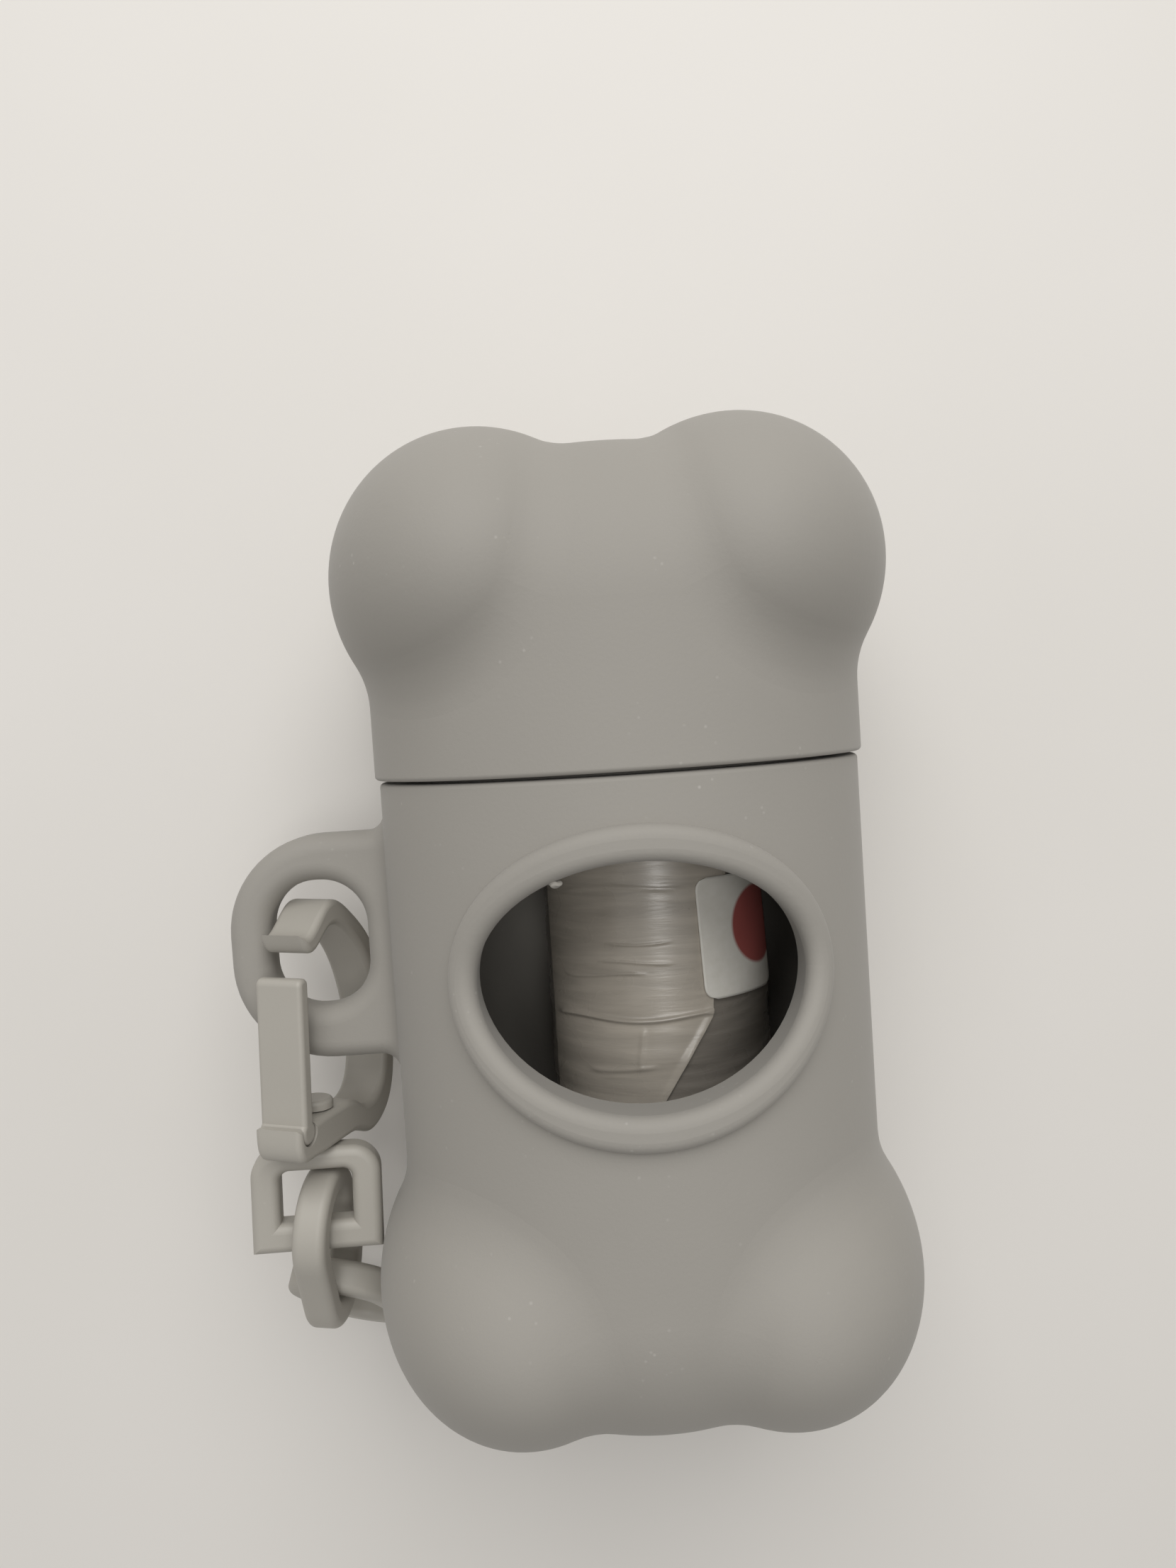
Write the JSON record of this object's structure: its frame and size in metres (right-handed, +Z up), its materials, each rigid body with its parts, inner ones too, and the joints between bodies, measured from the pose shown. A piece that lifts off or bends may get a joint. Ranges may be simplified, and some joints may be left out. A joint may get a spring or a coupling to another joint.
{
  "type": "dog waste bag dispenser",
  "caption": "Bone-shaped silicone holder for a roll of dog waste bags, with an oval window, a pull-off cap and a plastic snap hook with a short chain.",
  "frame": {"origin": "middle of the bounding box, on the table under the knobs", "axes": "+Z up out of the window, +Y along the bone towards the cap, +X to the right seen from above with the cap away"},
  "size_m": [0.0558, 0.0814, 0.0411],
  "materials": {
    "silicone": "very matte warm grey silicone",
    "hook_plastic": "satin warm grey moulded plastic",
    "film": "thin grey plastic film, slightly glossy and creased",
    "label": "off-white paper sticker",
    "card": "brown card"
  },
  "bodies": {
    "body": {"body_shell": "silicone"},
    "cap": {"cap_shell": "silicone"},
    "roll": {"roll_core": "card", "film_roll": "film", "film_tail": "film", "roll_label": "label"},
    "hook": {"hook_frame": "hook_plastic"},
    "gate": {"hook_gate": "hook_plastic"},
    "eye": {"swivel_eye": "hook_plastic"},
    "chain": {"chain_link": "hook_plastic"},
    "end": {"end_link": "hook_plastic"}
  },
  "joints": [
    {"name": "cap_pull", "type": "slide", "parent": "body", "child": "cap", "axis": [0, 1, 0], "range_m": [0, 0.04]},
    {"name": "roll_spin", "type": "hinge", "parent": "body", "child": "roll", "pos_m": [0.00804, -0.001, 0.01568], "axis": [0, 1, 0], "continuous": true},
    {"name": "hook_swing", "type": "hinge", "parent": "body", "child": "hook", "pos_m": [-0.02171, -0.00792, 0.0203], "axis": [-0.9505, 0.0332, -0.309], "range_deg": [0, 12]},
    {"name": "gate_flex", "type": "hinge", "parent": "hook", "child": "gate", "pos_m": [-0.02342, -0.01507, 0.02479], "axis": [-0.9505, 0.0332, -0.309], "range_deg": [0, 3], "stiffness_Nm_per_rad": 0.02},
    {"name": "eye_swivel", "type": "hinge", "parent": "hook", "child": "eye", "pos_m": [-0.0222, -0.01751, 0.02078], "axis": [0.0349, 0.9994, 0], "range_deg": [-5, 30]},
    {"name": "chain_swing", "type": "hinge", "parent": "eye", "child": "chain", "pos_m": [-0.02246, -0.02518, 0.02078], "axis": [0.9939, -0.0347, -0.1045], "range_deg": [-5, 5]},
    {"name": "end_swing", "type": "hinge", "parent": "chain", "child": "end", "pos_m": [-0.0224, -0.03316, 0.01534], "axis": [0.1209, 0.4958, -0.86], "range_deg": [-5, 5]}
  ]
}
